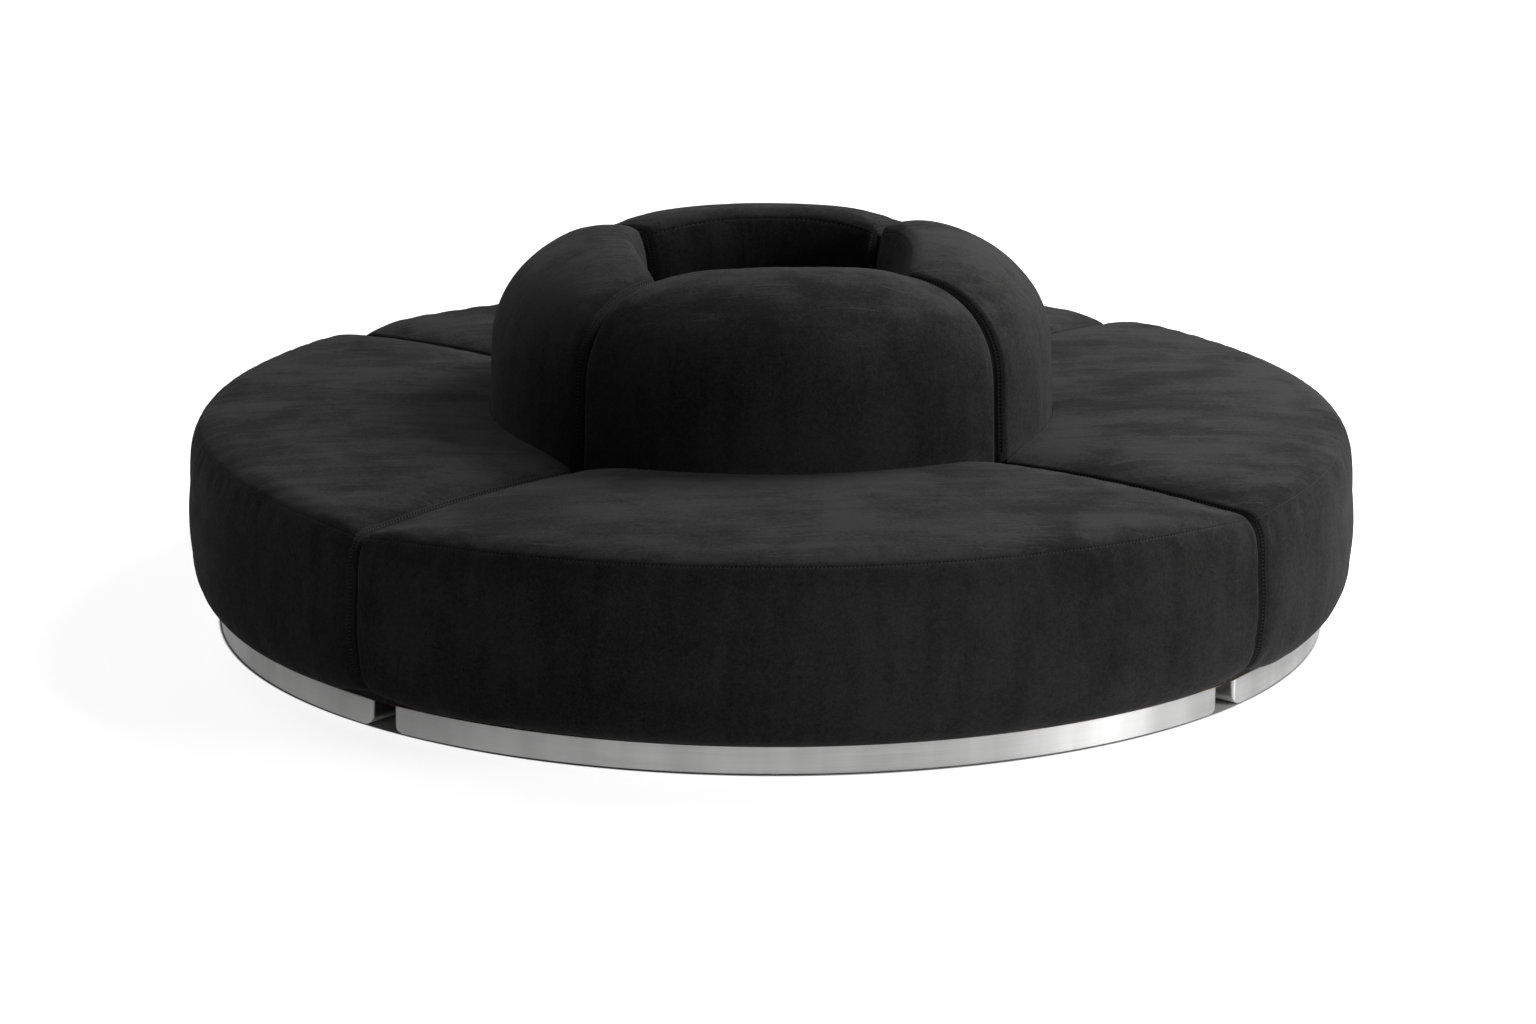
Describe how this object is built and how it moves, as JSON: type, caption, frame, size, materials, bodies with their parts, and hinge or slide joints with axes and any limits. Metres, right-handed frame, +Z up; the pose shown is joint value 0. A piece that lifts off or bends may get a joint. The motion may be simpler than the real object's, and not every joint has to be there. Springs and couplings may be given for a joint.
{
  "type": "round sofa",
  "caption": "Round ring sofa of equal upholstered quarter modules with rolled backrests around an open well, on a recessed brushed steel plinth.",
  "frame": {"origin": "centre of the ring at floor level", "axes": "+Z up; -Y towards the front quarter, +X towards the right quarter"},
  "size_m": [2.6098, 2.6098, 0.852],
  "materials": {
    "velvet": "charcoal black velvet with a soft mottled nap",
    "steel": "stainless, brushed along its length",
    "plywood": "birch plywood, bare",
    "nylon": "black, moulded",
    "zinc": "zinc plated, dull"
  },
  "bodies": {
    "front_and_rear_quarters": {"seat_cushion_front": "velvet", "front_border_front": "velvet", "back_cushion_front": "velvet", "seat_deck_front": "plywood", "seat_frame_front": "plywood", "back_frame_front": "plywood", "base_board_front": "plywood", "plinth_front": "steel", "side_border_front_a": "velvet", "side_border_front_b": "velvet", "glide_front_1": "nylon", "glide_front_2": "nylon", "glide_front_3": "nylon", "catch_plate_front_left": "zinc", "catch_plate_front_right": "zinc", "seat_cushion_rear": "velvet", "front_border_rear": "velvet", "back_cushion_rear": "velvet", "seat_deck_rear": "plywood", "seat_frame_rear": "plywood", "back_frame_rear": "plywood", "base_board_rear": "plywood", "plinth_rear": "steel", "side_border_rear_a": "velvet", "side_border_rear_b": "velvet", "glide_rear_1": "nylon", "glide_rear_2": "nylon", "glide_rear_3": "nylon", "catch_plate_rear_right": "zinc", "catch_plate_rear_left": "zinc"},
    "right_quarter": {"seat_cushion_right": "velvet", "front_border_right": "velvet", "back_cushion_right": "velvet", "seat_deck_right": "plywood", "seat_frame_right": "plywood", "back_frame_right": "plywood", "base_board_right": "plywood", "plinth_right": "steel", "side_border_right_a": "velvet", "side_border_right_b": "velvet", "glide_right_1": "nylon", "glide_right_2": "nylon", "glide_right_3": "nylon", "hook_plate_right_front": "zinc", "hook_plate_right_rear": "zinc"},
    "left_quarter": {"seat_cushion_left": "velvet", "front_border_left": "velvet", "back_cushion_left": "velvet", "seat_deck_left": "plywood", "seat_frame_left": "plywood", "back_frame_left": "plywood", "base_board_left": "plywood", "plinth_left": "steel", "side_border_left_a": "velvet", "side_border_left_b": "velvet", "glide_left_1": "nylon", "glide_left_2": "nylon", "glide_left_3": "nylon", "hook_plate_left_rear": "zinc", "hook_plate_left_front": "zinc"}
  },
  "joints": [
    {"name": "right_quarter_lift", "type": "slide", "parent": "front_and_rear_quarters", "child": "right_quarter", "axis": [0, 0, 1], "range_m": [0, 0.04]},
    {"name": "left_quarter_lift", "type": "slide", "parent": "front_and_rear_quarters", "child": "left_quarter", "axis": [0, 0, 1], "range_m": [0, 0.04]}
  ]
}
